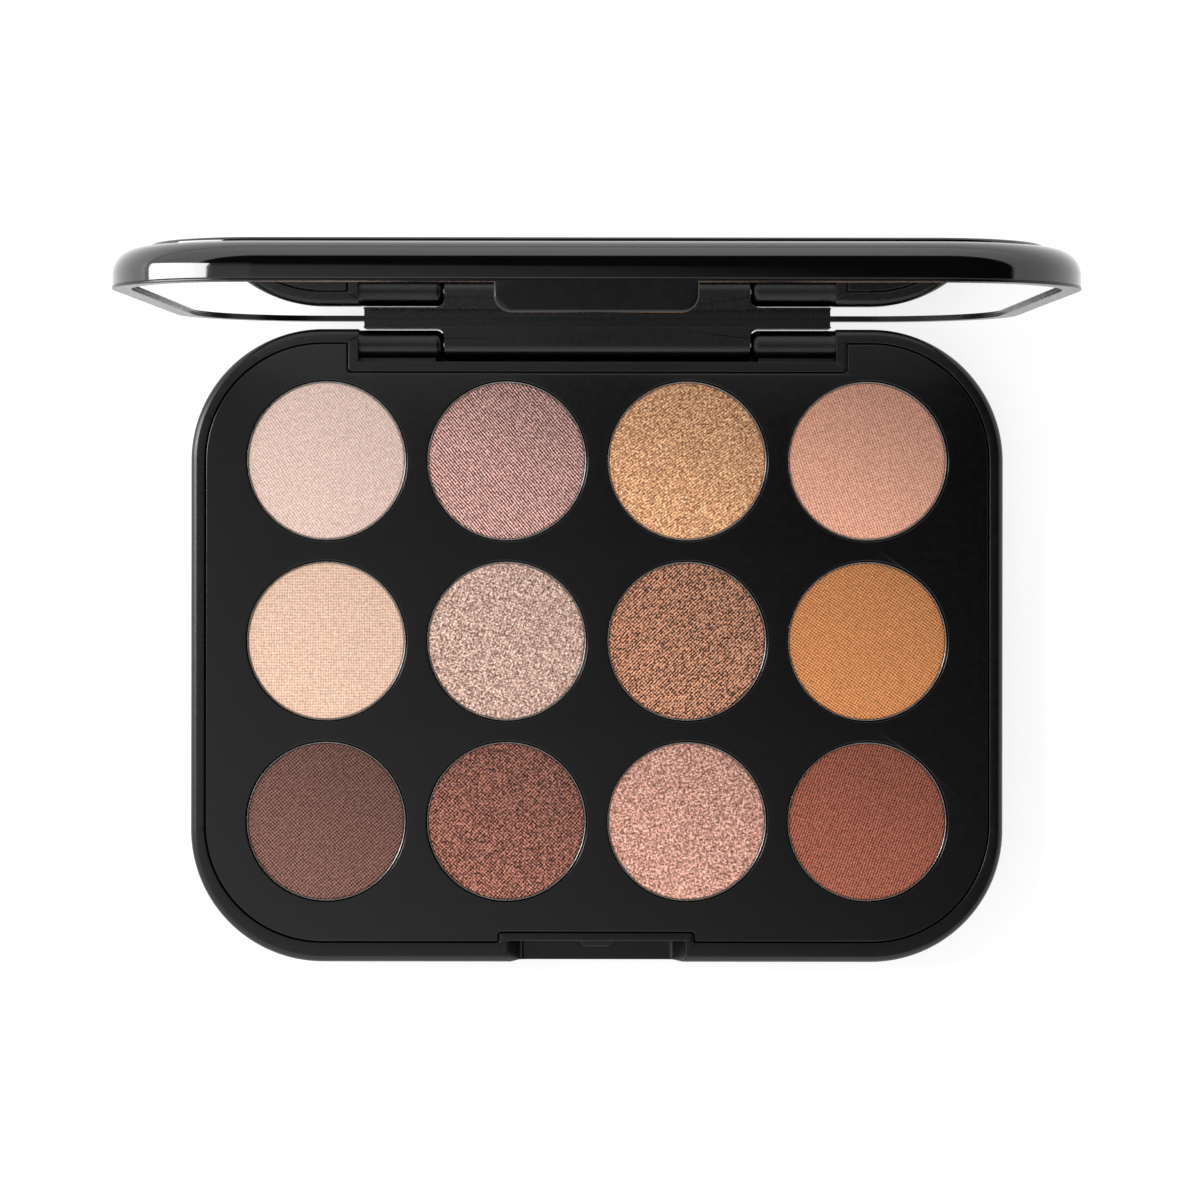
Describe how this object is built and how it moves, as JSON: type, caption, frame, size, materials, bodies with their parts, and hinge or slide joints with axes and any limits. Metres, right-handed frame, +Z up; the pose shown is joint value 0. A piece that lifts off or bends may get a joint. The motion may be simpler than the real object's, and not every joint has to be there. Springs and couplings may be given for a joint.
{
  "type": "eyeshadow palette",
  "caption": "Hinged makeup compact: round metal pans of pressed powder in a flush black deck, under a glossy black lid with a full mirror inside.",
  "frame": {"origin": "centre of the flat underside that the palette stands on", "axes": "+X along the hinge, to the right seen from the front; +Y to the rear, where the hinge is; +Z up. The lid is stored standing open."},
  "size_m": [0.1326, 0.1108, 0.1064],
  "materials": {
    "base_plastic": "satin black moulded plastic",
    "deck_plastic": "satin black moulded plastic",
    "lid_gloss": "high-gloss black plastic",
    "frame_plastic": "semi-gloss black plastic",
    "pan_metal": "bare pressed metal",
    "pin_steel": "plain steel wire",
    "adhesive": "double-sided adhesive",
    "mirror_glass": "silvered mirror glass",
    "powder_1": "pressed powder, matte pale beige",
    "powder_2": "pressed powder, shimmer mauve",
    "powder_3": "pressed powder, shimmer gold",
    "powder_4": "pressed powder, matte dusty rose",
    "powder_5": "pressed powder, matte pale peach",
    "powder_6": "pressed powder, shimmer champagne",
    "powder_7": "pressed powder, glitter bronze",
    "powder_8": "pressed powder, matte ochre",
    "powder_9": "pressed powder, matte dark brown",
    "powder_10": "pressed powder, shimmer red-brown",
    "powder_11": "pressed powder, glitter rose gold",
    "powder_12": "pressed powder, matte brick"
  },
  "bodies": {
    "base": {"base_shell": "base_plastic", "deck_frame": "deck_plastic", "pan_1": "pan_metal", "pan_2": "pan_metal", "pan_3": "pan_metal", "pan_4": "pan_metal", "pan_5": "pan_metal", "pan_6": "pan_metal", "pan_7": "pan_metal", "pan_8": "pan_metal", "pan_9": "pan_metal", "pan_10": "pan_metal", "pan_11": "pan_metal", "pan_12": "pan_metal", "powder_1": "powder_1", "powder_2": "powder_2", "powder_3": "powder_3", "powder_4": "powder_4", "powder_5": "powder_5", "powder_6": "powder_6", "powder_7": "powder_7", "powder_8": "powder_8", "powder_9": "powder_9", "powder_10": "powder_10", "powder_11": "powder_11", "powder_12": "powder_12", "pan_adhesive": "adhesive", "hinge_pin_left": "pin_steel", "hinge_pin_right": "pin_steel"},
    "lid": {"mirror_frame": "frame_plastic", "lid_shell": "lid_gloss", "lid_panel": "lid_gloss", "mirror_tape": "adhesive", "mirror_glass": "mirror_glass"}
  },
  "joints": [
    {"name": "lid_hinge", "type": "hinge", "parent": "base", "child": "lid", "pos_m": [0, 0.04922, 0.00535], "axis": [1, 0, 0], "range_deg": [-17.4, 87.6]}
  ]
}
